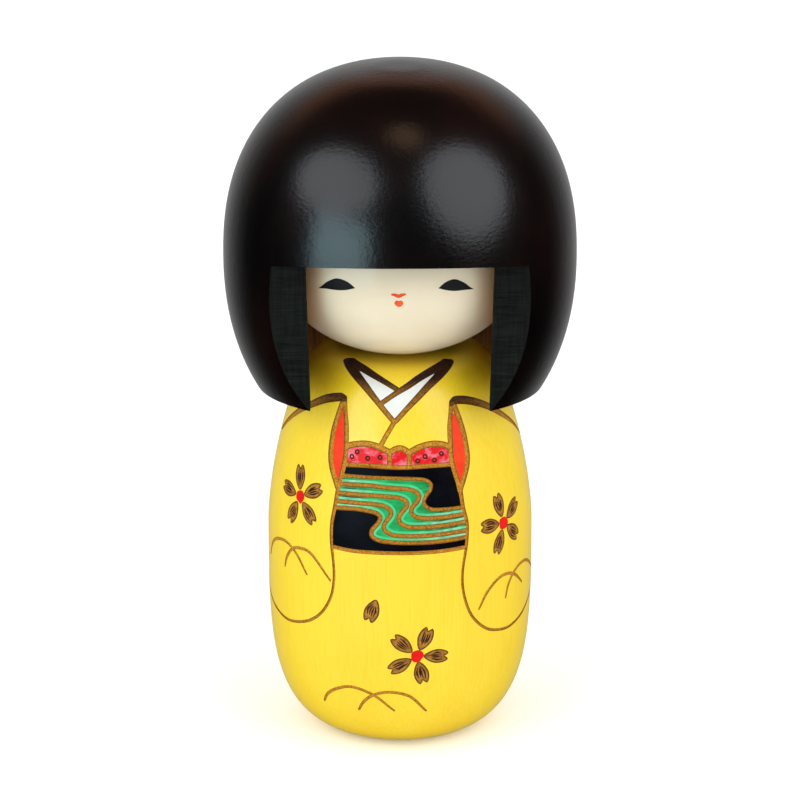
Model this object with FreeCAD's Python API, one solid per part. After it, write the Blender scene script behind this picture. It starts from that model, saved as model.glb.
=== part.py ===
"""Kokeshi doll with a turning head: a turned body, a head ball and a hollow bobbed hair shell on wooden dowels.

Millimetres, +Z up. The origin is the centre of the flat base, and the doll faces -Y.
Body and hair shell are lathe work: each outline is a superellipse above its widest level and another
below it. The hair shell is bored from underneath, and two saw cuts open the window for the face:
an upright one makes the flat faces of the two side locks, and a rising one makes the fringe.
"""

import FreeCAD
import Part

import math
import os

HEIGHT = 150.0

# Body
BODY_RADIUS = 29.2
BODY_WIDEST_Z = 46.8
BODY_BASE_RADIUS = 16.0
BODY_LOWER_POWER = 3.8
BODY_UPPER_REACH = 63.8     # where the upper outline would meet the axis, above the widest level
BODY_UPPER_POWER = 1.62
BODY_TOP_Z = 86.9
SHOULDER_ROUND = 9.0

# Hair shell
HAIR_RADIUS = 38.46
HAIR_WIDEST_Z = 107.8
HAIR_UPPER_POWER = 2.32
HAIR_LOWER_REACH = 46.5
HAIR_LOWER_POWER = 2.15
HAIR_BLANK_Z = 76.5         # the blank's lower end, before the rim is sawn
HAIR_RIM_Z = 79.0           # the sawn rim, at the axis
HAIR_RIM_TILT_DEG = 2.6     # the rim runs lower behind
CAVITY_RADIUS = 28.6
CAVITY_CEILING_Z = 124.0
CAVITY_CORNER_ROUND = 6.0

# Window for the face, cut out of the front of the hair shell
LOCK_FACE_DEPTH = 26.9      # from the axis to the side locks' faces, at the fringe
LOCK_LEAN_DEG = 2.5         # the lock faces step back towards their tips
FRINGE_Z = 113.1            # the fringe's lower edge where it meets the lock faces
FRINGE_RISE_DEG = 13.7      # the fringe's cut rises towards the front
WINDOW_HALF_WIDTH = 20.2    # at the fringe
WINDOW_TAPER_DEG = 1.7      # the locks' inner sides close in downwards
WINDOW_BACK_DEPTH = 16.0    # from the axis to where the window's pocket ends, inside the cavity

# Head ball
BALL_RADIUS = 28.0
BALL_HALF_HEIGHT = 21.7
BALL_CENTRE_Z = 108.2
SEAT_GAP = 0.1              # between the head's seat and the top of the body
ELLIPSE_POWER = 2.0

# Dowels
DOWEL_RADIUS = 4.0
DOWEL_CHAMFER = 0.6
GLUE_LINE = 0.05
RUNNING_CLEARANCE = 0.04
HOLE_SPARE_DEPTH = 1.0
NECK_DOWEL_IN_BODY = 15.0
NECK_DOWEL_IN_HEAD = 14.0
CROWN_DOWEL_EACH_WAY = 12.0

CURVE_POINTS = 13
SLOPE_STEP = 0.001
CUTTER_REACH = 1.5 * HAIR_RADIUS


def point(radius, z):
    """A point of a lathe outline, which is drawn in the XZ plane."""
    return FreeCAD.Vector(radius, 0.0, z)


def superellipse_radius(distance, widest, reach, power):
    """The radius of a superellipse at a distance from its widest level."""
    return widest * (1.0 - (distance / reach) ** power) ** (1.0 / power)


def superellipse_distance(radius, widest, reach, power):
    """How far from its widest level a superellipse has the given radius."""
    return reach * (1.0 - (radius / widest) ** power) ** (1.0 / power)


def superellipse_edge(widest, widest_z, reach, power, last_radius):
    """An outline edge from the widest level to where the radius is last_radius.

    reach is positive upwards and negative downwards. The points are even in angle, so they crowd
    where the outline turns towards the axis. The edge leaves the widest level upright, and one
    that reaches the axis meets it level, so that the turned surface is smooth at both.
    """
    last_angle = math.acos((last_radius / widest) ** (power / 2.0))
    points = []
    for i in range(CURVE_POINTS):
        angle = last_angle * i / (CURVE_POINTS - 1)
        radius = widest * math.cos(angle) ** (2.0 / power)
        rise = reach * math.sin(angle) ** (2.0 / power)
        points.append(point(radius, widest_z + rise))
    tangents = [point(0, reach)] + [point(-widest, 0)] * (CURVE_POINTS - 1)
    fixed = [True] + [False] * (CURVE_POINTS - 2) + [last_radius == 0.0]
    curve = Part.BSplineCurve()
    curve.interpolate(Points=points, Tangents=tangents, TangentFlags=fixed)
    return curve.toShape()


def line(start, end):
    return Part.LineSegment(start, end).toShape()


def turned(edges):
    """The solid of revolution about Z whose half outline is these edges."""
    outline = Part.Wire(Part.sortEdges(edges)[0])
    return Part.Face(outline).revolve(FreeCAD.Vector(0, 0, 0), FreeCAD.Vector(0, 0, 1), 360.0)


def cylinder(radius, bottom_z, top_z):
    return Part.makeCylinder(radius, top_z - bottom_z, FreeCAD.Vector(0, 0, bottom_z))


def shoulder_arc():
    """Start, middle and end of the arc that turns the body's side into its flat top."""

    def side(z):
        return superellipse_radius(z - BODY_WIDEST_Z, BODY_RADIUS, BODY_UPPER_REACH, BODY_UPPER_POWER)

    def arc_centre(z):
        slope = (side(z + SLOPE_STEP) - side(z)) / SLOPE_STEP
        inward = SHOULDER_ROUND / math.hypot(1.0, slope)
        return point(side(z) - inward, z + inward * slope)

    low, high = BODY_WIDEST_Z + SHOULDER_ROUND, BODY_TOP_Z
    while high - low > SLOPE_STEP:
        tangent_z = 0.5 * (low + high)
        if arc_centre(tangent_z).z + SHOULDER_ROUND < BODY_TOP_Z:
            low = tangent_z
        else:
            high = tangent_z
    start = point(side(low), low)
    centre = point(arc_centre(low).x, BODY_TOP_Z - SHOULDER_ROUND)
    start_angle = math.atan2(start.z - centre.z, start.x - centre.x)
    half_way = 0.5 * (start_angle + math.pi / 2.0)
    middle = centre + point(SHOULDER_ROUND * math.cos(half_way), SHOULDER_ROUND * math.sin(half_way))
    return start, middle, point(centre.x, BODY_TOP_Z)


def body():
    """The turned kimono body: flat base, full sides, soft shoulders and the bore that the neck dowel runs in."""
    lower_reach = BODY_WIDEST_Z / superellipse_distance(BODY_BASE_RADIUS, BODY_RADIUS, 1.0, BODY_LOWER_POWER)
    start, middle, flat_edge = shoulder_arc()
    base_edge = point(BODY_BASE_RADIUS, 0)
    solid = turned([
        line(point(0, 0), base_edge),
        superellipse_edge(BODY_RADIUS, BODY_WIDEST_Z, -lower_reach, BODY_LOWER_POWER, BODY_BASE_RADIUS),
        superellipse_edge(BODY_RADIUS, BODY_WIDEST_Z, BODY_UPPER_REACH, BODY_UPPER_POWER, start.x),
        Part.Arc(start, middle, flat_edge).toShape(),
        line(flat_edge, point(0, BODY_TOP_Z)),
        line(point(0, BODY_TOP_Z), point(0, 0)),
    ])
    bore_floor = BODY_TOP_Z - NECK_DOWEL_IN_BODY - HOLE_SPARE_DEPTH
    return solid.cut(cylinder(DOWEL_RADIUS + RUNNING_CLEARANCE, bore_floor, BODY_TOP_Z + 1.0))


def head_ball():
    """The face block: a flattened ball, cut flat where it sits on the body and where the hair is glued on."""
    seat_z = BODY_TOP_Z + SEAT_GAP
    seat_radius = superellipse_radius(BALL_CENTRE_Z - seat_z, BALL_RADIUS, BALL_HALF_HEIGHT, ELLIPSE_POWER)
    crown_height = CAVITY_CEILING_Z - BALL_CENTRE_Z
    crown_radius = superellipse_radius(crown_height, BALL_RADIUS, BALL_HALF_HEIGHT, ELLIPSE_POWER)
    solid = turned([
        line(point(0, seat_z), point(seat_radius, seat_z)),
        superellipse_edge(BALL_RADIUS, BALL_CENTRE_Z, -BALL_HALF_HEIGHT, ELLIPSE_POWER, seat_radius),
        superellipse_edge(BALL_RADIUS, BALL_CENTRE_Z, BALL_HALF_HEIGHT, ELLIPSE_POWER, crown_radius),
        line(point(crown_radius, CAVITY_CEILING_Z), point(0, CAVITY_CEILING_Z)),
        line(point(0, CAVITY_CEILING_Z), point(0, seat_z)),
    ])
    hole_radius = DOWEL_RADIUS + GLUE_LINE
    neck_hole = cylinder(hole_radius, seat_z - 1.0, BODY_TOP_Z + NECK_DOWEL_IN_HEAD + HOLE_SPARE_DEPTH)
    crown_hole_floor = CAVITY_CEILING_Z - CROWN_DOWEL_EACH_WAY - HOLE_SPARE_DEPTH
    crown_hole = cylinder(hole_radius, crown_hole_floor, CAVITY_CEILING_Z + 1.0)
    return solid.cut(neck_hole).cut(crown_hole)


def hair_blank():
    """The hair shell as it comes off the lathe: a bobbed dome with a bored cavity, before the saw cuts."""
    low_radius = superellipse_radius(
        HAIR_WIDEST_Z - HAIR_BLANK_Z, HAIR_RADIUS, HAIR_LOWER_REACH, HAIR_LOWER_POWER
    )
    upper_reach = HEIGHT - HAIR_WIDEST_Z
    corner_z = CAVITY_CEILING_Z - CAVITY_CORNER_ROUND
    corner_middle = point(
        CAVITY_RADIUS - CAVITY_CORNER_ROUND * (1.0 - math.cos(math.pi / 4.0)),
        corner_z + CAVITY_CORNER_ROUND * math.sin(math.pi / 4.0),
    )
    ceiling_edge = point(CAVITY_RADIUS - CAVITY_CORNER_ROUND, CAVITY_CEILING_Z)
    return turned([
        superellipse_edge(HAIR_RADIUS, HAIR_WIDEST_Z, upper_reach, HAIR_UPPER_POWER, 0.0),
        superellipse_edge(HAIR_RADIUS, HAIR_WIDEST_Z, -HAIR_LOWER_REACH, HAIR_LOWER_POWER, low_radius),
        line(point(low_radius, HAIR_BLANK_Z), point(CAVITY_RADIUS, HAIR_BLANK_Z)),
        line(point(CAVITY_RADIUS, HAIR_BLANK_Z), point(CAVITY_RADIUS, corner_z)),
        Part.Arc(point(CAVITY_RADIUS, corner_z), corner_middle, ceiling_edge).toShape(),
        line(ceiling_edge, point(0, CAVITY_CEILING_Z)),
        line(point(0, CAVITY_CEILING_Z), point(0, HEIGHT)),
    ])


def prism(corners, direction):
    """The polygon with these corners, drawn out along direction."""
    return Part.Face(Part.makePolygon(corners + corners[:1])).extrude(direction)


def fringe_and_lock_cutter():
    """The wedge that two saw cuts remove from the front, leaving the locks' flat faces and the fringe."""
    lean = math.tan(math.radians(LOCK_LEAN_DEG))
    rise = math.tan(math.radians(FRINGE_RISE_DEG))
    below_z = HAIR_RIM_Z - CUTTER_REACH
    corners = [
        (-LOCK_FACE_DEPTH, FRINGE_Z),
        (-LOCK_FACE_DEPTH + lean * (FRINGE_Z - below_z), below_z),
        (-LOCK_FACE_DEPTH - CUTTER_REACH, below_z),
        (-LOCK_FACE_DEPTH - CUTTER_REACH, FRINGE_Z + rise * CUTTER_REACH),
    ]
    outline = [FreeCAD.Vector(-CUTTER_REACH, y, z) for y, z in corners]
    return prism(outline, FreeCAD.Vector(2.0 * CUTTER_REACH, 0, 0))


def window_cutter():
    """The pocket between the locks, from their faces back into the cavity."""
    below_z = HAIR_RIM_Z - CUTTER_REACH
    low_half_width = WINDOW_HALF_WIDTH - math.tan(math.radians(WINDOW_TAPER_DEG)) * (FRINGE_Z - below_z)
    corners = [
        (-WINDOW_HALF_WIDTH, FRINGE_Z),
        (WINDOW_HALF_WIDTH, FRINGE_Z),
        (low_half_width, below_z),
        (-low_half_width, below_z),
    ]
    front = -LOCK_FACE_DEPTH - 1.0
    outline = [FreeCAD.Vector(x, front, z) for x, z in corners]
    return prism(outline, FreeCAD.Vector(0, -WINDOW_BACK_DEPTH - front, 0))


def rim_cutter():
    """Everything under the slanting rim."""
    fall = math.tan(math.radians(HAIR_RIM_TILT_DEG)) * CUTTER_REACH
    below_z = HAIR_RIM_Z - CUTTER_REACH
    corners = [
        (-CUTTER_REACH, HAIR_RIM_Z + fall),
        (CUTTER_REACH, HAIR_RIM_Z - fall),
        (CUTTER_REACH, below_z),
        (-CUTTER_REACH, below_z),
    ]
    outline = [FreeCAD.Vector(-CUTTER_REACH, y, z) for y, z in corners]
    return prism(outline, FreeCAD.Vector(2.0 * CUTTER_REACH, 0, 0))


def hair_shell():
    """The bobbed hair: fringe in front, a flat-faced lock each side of the face, and the full cut behind."""
    hole_top = CAVITY_CEILING_Z + CROWN_DOWEL_EACH_WAY + HOLE_SPARE_DEPTH
    hole = cylinder(DOWEL_RADIUS + GLUE_LINE, CAVITY_CEILING_Z - 1.0, hole_top)
    shell = hair_blank()
    for cutter in (fringe_and_lock_cutter(), window_cutter(), rim_cutter(), hole):
        shell = shell.cut(cutter)
    return shell


def dowel(bottom_z, top_z):
    """A round wooden peg with chamfered ends."""
    peg = cylinder(DOWEL_RADIUS, bottom_z, top_z)
    ends = [edge for edge in peg.Edges if isinstance(edge.Curve, Part.Circle)]
    return peg.makeChamfer(DOWEL_CHAMFER, ends)


def neck_dowel():
    """Glued in the head, and free to turn in the body."""
    return dowel(BODY_TOP_Z - NECK_DOWEL_IN_BODY, BODY_TOP_Z + NECK_DOWEL_IN_HEAD)


def crown_dowel():
    """Keeps the head ball central in the hair shell's cavity."""
    return dowel(CAVITY_CEILING_Z - CROWN_DOWEL_EACH_WAY, CAVITY_CEILING_Z + CROWN_DOWEL_EACH_WAY)


PIECES = {
    "body": body,
    "head_ball": head_ball,
    "hair_shell": hair_shell,
    "neck_dowel": neck_dowel,
    "crown_dowel": crown_dowel,
}

os.makedirs("parts", exist_ok=True)
for name, make in PIECES.items():
    shape = make()
    shape.exportStep(f"parts/{name}.step")
    print(f"{name}: {len(shape.Solids)} solid, valid {shape.isValid()}, {shape.Volume:.0f} mm3")
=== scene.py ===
import math

import bpy
import numpy as np
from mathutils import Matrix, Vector, geometry


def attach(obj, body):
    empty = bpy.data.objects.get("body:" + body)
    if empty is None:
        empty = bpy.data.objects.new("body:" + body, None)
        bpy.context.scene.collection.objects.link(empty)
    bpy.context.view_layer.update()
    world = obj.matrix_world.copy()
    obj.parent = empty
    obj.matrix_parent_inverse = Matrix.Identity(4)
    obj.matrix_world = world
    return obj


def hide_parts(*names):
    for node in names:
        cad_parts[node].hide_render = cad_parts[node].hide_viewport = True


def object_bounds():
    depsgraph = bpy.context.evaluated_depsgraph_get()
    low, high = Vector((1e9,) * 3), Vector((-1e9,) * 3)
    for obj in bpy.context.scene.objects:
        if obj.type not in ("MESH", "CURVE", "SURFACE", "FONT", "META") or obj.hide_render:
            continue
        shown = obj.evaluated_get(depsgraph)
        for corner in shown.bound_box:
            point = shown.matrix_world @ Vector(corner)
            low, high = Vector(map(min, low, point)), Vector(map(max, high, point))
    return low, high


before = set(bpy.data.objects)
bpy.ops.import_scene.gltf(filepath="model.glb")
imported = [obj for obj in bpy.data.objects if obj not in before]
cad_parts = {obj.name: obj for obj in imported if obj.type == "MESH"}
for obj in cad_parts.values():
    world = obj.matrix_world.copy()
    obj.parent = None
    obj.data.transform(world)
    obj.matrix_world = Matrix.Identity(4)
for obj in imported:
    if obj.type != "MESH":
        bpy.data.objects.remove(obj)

# The visual model of a kokeshi doll. Places on a turned piece are an angle round it, in degrees, 0 at the
# doll's front and growing to the viewer's right, and a height in millimetres. They are laid out flat, with
# the length along the outline upwards, cut up into triangles, and then wrapped onto the turned surface.

scene = bpy.context.scene
CAD_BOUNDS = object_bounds()
MM = 0.001

# Engraving
GROOVE_DEPTH = 0.42  # at the middle of a full-width line, mm
FULL_WIDTH = 1.0  # narrower lines are shallower in proportion, mm
GROOVE_POWER = 0.6  # the lower, the flatter a groove's floor and the steeper its walls
BURN_REACH = 1.02  # how far from its middle a line is burnt, as a share of its half width
CURVE_STEP = 0.45  # between points along a line, mm
ROUND_END_STEPS = 6
LEVELS = (1.0, 0.86, 0.52)  # where the groove's wall is cut, as shares of its half width
THIN_LEVELS = (1.0, 0.6)  # the same for a thin line
THIN = 0.6  # mm
LIGHTLY_PRESSED = 0.9  # lines narrower than this (mm) are pressed less, so their edges stay lighter
LIGHT_EDGE = 0.68  # multiplies their points' share of the half width
WRAP_MARGIN = 3.0  # how much further round than up a line's width can reach, near the flat top
OUTSIDE = 9.0  # the share of places that are nowhere near a line
LEAST_HALF_WIDTH = 0.02  # mm
MERGE_DISTANCE = 1e-4  # places closer than this become one, mm
LEVEL_TOLERANCE = 1e-3  # how exactly a place is on an edge of the sheet, mm
LINE_LIFT = 0.02  # how far paint and burnt lines stand above the wood, mm
PAINT_LIFT = 0.03
SKIN_DEPTH = 0.15  # how deep they go into it, mm
BODY_STEP = 1.1  # between points on the plain wood, mm
FACE_STEP = 0.5

FILL = 0.8  # the light that comes from all round
SOFTBOX_DISTANCE = 1.2  # m
SOFTBOX_TARGET_Z = 0.09  # m
CAMERA_ELEVATION_DEG = 18.6
CAMERA_LENS = 204.6  # mm
CAMERA_TARGET = 0.494  # of the doll's height

# Where the hair's faces change their finish, m
LOCK_FRONT_Y = -0.0275
WINDOW_SIDE_X = 0.021
BORE_RADIUS = 0.0288
CAVITY_TOP_Z = 0.1365
SQUARE_ON = 0.98  # how nearly a sawn face of the hair looks along an axis
UNDERSIDE = -0.9  # a face whose direction has less Z than this is on the sawn rim

# The stream on the obi bends in the middle and runs straight at both sides
STREAM_BEND_X = -0.001  # m
STREAM_HALF_WIDTH = 0.014  # m


# ---- Curves and turned surfaces


def smooth(rows, step, closed=False):
    """Rows about one step apart on a smooth curve through the given ones.

    The first two columns are the place, and any others are carried along.
    """
    rows = np.asarray(rows, float)
    if closed:
        padded = np.vstack([rows[-1:], rows, rows[:2]])
    else:
        padded = np.vstack([2 * rows[0] - rows[1], rows, 2 * rows[-1] - rows[-2]])
    curve = []
    for before, start, end, after in zip(padded, padded[1:], padded[2:], padded[3:]):
        count = max(1, math.ceil(math.dist(start[:2], end[:2]) / step))
        for i in range(count):
            t = i / count
            bend = (end - before) * t + (2 * before - 5 * start + 4 * end - after) * t**2
            curve.append(start + 0.5 * (bend + (3 * start - before - 3 * end + after) * t**3))
    if not closed:
        curve.append(rows[-1])
    return np.array(curve)


class TurnedSurface:
    """The outside of a lathe-turned CAD node, from its lowest edge to its highest."""

    STEP = 0.25

    def __init__(self, node, hole_radius, centre_height):
        corners = np.array([v.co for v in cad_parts[node].data.vertices]) / MM
        outline = np.stack([np.hypot(corners[:, 0], corners[:, 1]), corners[:, 2]], axis=1)
        outline = outline[outline[:, 0] > hole_radius]
        outline = outline[np.argsort(np.arctan2(outline[:, 1] - centre_height, outline[:, 0]))]
        kept = [outline[0]]
        for place in outline[1:]:
            if math.dist(place, kept[-1]) > 2 * self.STEP:
                kept.append(place)
        kept[-1] = outline[-1]
        self.outline = smooth(kept, self.STEP)
        self.along = np.concatenate([[0], np.cumsum(np.linalg.norm(np.diff(self.outline, axis=0), axis=1))])
        self.reference = self.outline[:, 0].max()
        self.around = 2 * math.pi * self.reference
        self.length = self.along[-1]

    def radius(self, along):
        return np.interp(along, self.along, self.outline[:, 0])

    def extend_flat(self, inner_radius):
        """Adds the flat top, from its edge in to inner_radius."""
        edge_radius, top = self.outline[-1]
        radii = np.arange(edge_radius - self.STEP, inner_radius, -self.STEP)
        flat = np.stack([radii, np.full(len(radii), top)], axis=1)
        self.outline = np.vstack([self.outline, flat])
        self.along = np.concatenate([self.along, self.length + edge_radius - radii])
        self.length = self.along[-1]

    def beside(self, angle, height, across, up):
        """The angle and height of the place that lies across and up (mm, along the surface) from another."""
        along = np.interp(height, self.outline[:, 1], self.along) + up
        turned = angle + math.degrees(across / self.radius(along))
        return turned, np.interp(along, self.along, self.outline[:, 1])

    def flat(self, angle, height):
        """The flat place of an angle and a height."""
        return math.radians(angle) * self.reference, float(np.interp(height, self.outline[:, 1], self.along))

    def wrap(self, flat, depth=0.0):
        """Places (metres) and outward directions of flat places, sunk by depth."""
        angle = flat[:, 0] / self.reference
        along = np.clip(flat[:, 1], 0, self.length)
        ahead = np.clip(along + self.STEP, 0, self.length)
        behind = np.clip(along - self.STEP, 0, self.length)
        height = np.interp(along, self.along, self.outline[:, 1])
        rise = np.interp(ahead, self.along, self.outline[:, 1])
        rise -= np.interp(behind, self.along, self.outline[:, 1])
        spread = self.radius(ahead) - self.radius(behind)
        size = np.hypot(rise, spread)
        out, up = rise / size, -spread / size
        normals = np.stack([np.sin(angle) * out, -np.cos(angle) * out, up], axis=1)
        radius = self.radius(along)
        places = np.stack([np.sin(angle) * radius, -np.cos(angle) * radius, height], axis=1)
        return (places - normals * np.reshape(depth, (-1, 1))) * MM, normals


# ---- Lines and painted areas, laid out flat


class Line:
    """An engraved line. Each point is (angle, height) or (angle, height, width).

    burn is how charred the line is, 0 to 1. With a fade it is that at the line's top, halves every fade
    mm downwards, and counts as 1 wherever it is more. So a faded line darkens towards its top, which is
    char and painted shade under the chin and the hair together.
    """

    def __init__(self, surface, points, width=1.0, burn=0.0, closed=False, fade=None):
        rows = [(*surface.flat(p[0], p[1]), p[2] if len(p) > 2 else width) for p in points]
        self.surface = surface
        self.rows = smooth(rows, CURVE_STEP, closed)
        self.closed = closed
        self.burn = burn
        self.fade = fade
        self.widest = self.rows[:, 2].max()

    def burn_and_shade_at(self, flat):
        if self.fade is None:
            return np.full(len(flat), self.burn)
        # Painted shade and char: with a fade the line is darkest at its top, under the chin and the hair.
        below = np.maximum(self.rows[:, 1].max() - flat[:, 1], 0)
        return np.minimum(self.burn * 0.5 ** (below / self.fade), 1.0)

    def levels(self):
        return LEVELS if self.widest > THIN else THIN_LEVELS

    def squeeze(self, along):
        """How much narrower the surface is here than where it is widest."""
        return np.maximum(self.surface.radius(along), 1.0) / self.surface.reference

    def loop(self, level):
        """The line's outline at a share of its half width, as closed loops of flat places."""
        centre, half = self.rows[:, :2], 0.5 * level * self.rows[:, 2:3]
        squeeze = self.squeeze(centre[:, 1])[:, None]
        if self.closed:
            step = np.roll(centre, -1, axis=0) - np.roll(centre, 1, axis=0)
        else:
            step = np.gradient(centre, axis=0)
        true_step = step * np.hstack([squeeze, np.ones_like(squeeze)])
        ahead = true_step / np.linalg.norm(true_step, axis=1, keepdims=True)
        side = np.stack([-ahead[:, 1], ahead[:, 0]], axis=1)
        to_flat = np.hstack([1 / squeeze, np.ones_like(squeeze)])
        left, right = centre + half * side * to_flat, centre - half * side * to_flat
        if self.closed:
            return [left, right]
        caps = []
        for end, sign in ((-1, 1.0), (0, -1.0)):
            turn = np.linspace(0, math.pi, ROUND_END_STEPS + 1)[1:-1, None]
            spoke = sign * (np.cos(turn) * side[end] + np.sin(turn) * ahead[end])
            caps.append(centre[end] + half[end] * spoke * to_flat[end])
        return [np.vstack([left, caps[0], right[::-1], caps[1]])]

    def share(self, flat):
        """How far each flat place is from the line's middle, as a share of its half width there."""
        best = np.full(len(flat), OUTSIDE)
        low, high = self.rows.min(axis=0), self.rows.max(axis=0)
        around = self.surface.around
        margin = self.widest
        near = np.nonzero((flat[:, 1] > low[1] - margin) & (flat[:, 1] < high[1] + margin))[0]
        middle = 0.5 * (low[0] + high[0])
        x = (flat[near, 0] - middle + around / 2) % around - around / 2 + middle
        beside = (x > low[0] - WRAP_MARGIN * margin) & (x < high[0] + WRAP_MARGIN * margin)
        near, x = near[beside], x[beside]
        if not len(near):
            return best
        start, end = self.rows, np.roll(self.rows, -1, axis=0)
        if not self.closed:
            start, end = start[:-1], end[:-1]
        squeeze = self.squeeze(flat[near, 1])[:, None]
        x, y = (x[:, None] - start[None, :, 0]) * squeeze, flat[near, 1:2] - start[None, :, 1]
        run_x, run_y = (end - start)[None, :, 0] * squeeze, (end - start)[None, :, 1]
        t = np.clip((x * run_x + y * run_y) / np.maximum(run_x**2 + run_y**2, 1e-9), 0, 1)
        half = 0.5 * (start[None, :, 2] + t * (end - start)[None, :, 2])
        away = np.hypot(x - t * run_x, y - t * run_y)
        best[near] = (away / np.maximum(half, LEAST_HALF_WIDTH)).min(axis=1)
        return best


class Area:
    """A painted area, inside a closed outline of flat places."""

    def __init__(self, outline):
        self.outline = outline

    def holds(self, flat):
        """Which flat places are inside the outline."""
        x, y = flat[:, 0], flat[:, 1]
        inside = np.zeros(len(flat), bool)
        for (x0, y0), (x1, y1) in zip(self.outline, np.roll(self.outline, -1, axis=0)):
            if y0 != y1:
                inside ^= ((y0 > y) != (y1 > y)) & (x < x0 + (y - y0) * (x1 - x0) / (y1 - y0))
        return inside


def rounded_area(surface, points):
    """The area inside a smooth outline through (angle, height) points."""
    return Area(smooth([surface.flat(*p) for p in points], CURVE_STEP, closed=True))


class Sheet:
    """A turned surface laid flat and cut into triangles along every line and area edge."""

    def __init__(self, surface, low, high, step, lines, areas):
        self.surface, self.lines, self.areas = surface, lines, areas
        places, edges = [], []
        columns = np.linspace(low[0], high[0], round((high[0] - low[0]) / step) + 1)
        levels = np.linspace(low[1], high[1], round((high[1] - low[1]) / step) + 1)
        width, last = len(columns), len(levels) - 1
        for row, y in enumerate(levels):
            places += [(x, y) for x in columns]
            if row in (0, last):
                edges += [(row * width + i, row * width + i + 1) for i in range(width - 1)]
        for row in range(last):
            edges += [(row * width + i, (row + 1) * width + i) for i in (0, width - 1)]
        loops = [loop for line in lines for level in line.levels() for loop in line.loop(level)]
        loops += [area.outline for area in areas]
        around = surface.around
        for loop in loops:
            for shift in (-around, 0.0, around):
                moved = loop + (shift, 0)
                if moved[:, 0].max() > low[0] and moved[:, 0].min() < high[0]:
                    first, count = len(places), len(moved)
                    places += [tuple(p) for p in moved]
                    edges += [(first + i, first + (i + 1) % count) for i in range(count)]
        for line in lines:
            first, count = len(places), len(line.rows)
            places += [tuple(p) for p in line.rows[:, :2]]
            joined = count if line.closed else count - 1
            edges += [(first + i, first + (i + 1) % count) for i in range(joined)]
        result = geometry.delaunay_2d_cdt([Vector(p) for p in places], edges, [], 0, MERGE_DISTANCE, False)
        self.flat = np.array([tuple(p) for p in result[0]])
        self.triangles = np.array([tuple(t) for t in result[2]])
        middle = self.flat[self.triangles].mean(axis=1)
        kept = np.all((middle > low) & (middle < high), axis=1)
        self.triangles, self.middle = self.triangles[kept], middle[kept]
        if high[0] - low[0] > 0.999 * around:
            self.join_seam(low[0], high[0])
        self.engrave()

    def join_seam(self, left, right):
        """Makes the right-hand edge's points the left-hand edge's."""
        on_left = np.nonzero(np.abs(self.flat[:, 0] - left) < LEVEL_TOLERANCE)[0]
        on_right = np.nonzero(np.abs(self.flat[:, 0] - right) < LEVEL_TOLERANCE)[0]
        same = np.arange(len(self.flat))
        for i in on_right:
            same[i] = on_left[np.argmin(np.abs(self.flat[on_left, 1] - self.flat[i, 1]))]
        self.triangles = same[self.triangles]
        a, b, c = self.triangles.T
        whole = (a != b) & (b != c) & (c != a)
        self.triangles, self.middle = self.triangles[whole], self.middle[whole]

    def engrave(self):
        """Works out each point's depth, share of the half width and burn, and what each triangle is."""
        count = len(self.flat)
        depth, share, burn = np.zeros(count), np.ones(count), np.zeros(count)
        self.engraved = np.zeros(len(self.triangles), bool)
        for line in self.lines:
            from_middle = line.share(self.flat)
            there = np.clip(from_middle, 0, 1)
            own = GROOVE_DEPTH * min(1.0, line.widest / FULL_WIDTH) * (1 - there**2) ** GROOVE_POWER
            deeper = own > depth
            depth[deeper] = own[deeper]
            light = line.widest < LIGHTLY_PRESSED and not line.burn
            share = np.minimum(share, there * LIGHT_EDGE if light else there)
            burnt = np.maximum(burn, line.burn_and_shade_at(self.flat))
            burn = np.where(from_middle < BURN_REACH, burnt, burn)
            self.engraved |= line.share(self.middle) < 1
        self.depth, self.share, self.burn = depth, share, burn
        self.area_of = np.full(len(self.triangles), -1)
        for i, area in enumerate(self.areas):
            for shift in (-self.surface.around, 0.0, self.surface.around):
                self.area_of[area.holds(self.middle + (shift, 0))] = i
        self.places, self.normals = self.surface.wrap(self.flat, depth)

    def groove_normals(self):
        """Directions at the points of the engraved triangles, averaged over those triangles only."""
        chosen = self.triangles[self.engraved]
        a, b, c = (self.places[chosen[:, i]] for i in range(3))
        facing = np.cross(b - a, c - a)
        total = np.zeros_like(self.places)
        for i in range(3):
            np.add.at(total, chosen[:, i], facing)
        size = np.linalg.norm(total, axis=1, keepdims=True)
        return np.where(size > 0, total / np.maximum(size, 1e-20), self.normals)


# ---- Meshes


def make_piece(name, places, faces, corner_normals, materials, body):
    """A mesh object riding on a body. corner_normals has one direction per face corner."""
    mesh = bpy.data.meshes.new(name)
    mesh.from_pydata([tuple(p) for p in places], [], [tuple(int(i) for i in f) for f in faces])
    for material in materials:
        mesh.materials.append(material)
    mesh.polygons.foreach_set("use_smooth", [True] * len(mesh.polygons))
    mesh.normals_split_custom_set([tuple(n) for n in corner_normals])
    piece = bpy.data.objects.new(name, mesh)
    scene.collection.objects.link(piece)
    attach(piece, body)
    return piece


def face_normal(places, face):
    a, b, c = (np.asarray(places[i]) for i in face[:3])
    normal = np.cross(b - a, c - a)
    return normal / max(np.linalg.norm(normal), 1e-20)


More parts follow.
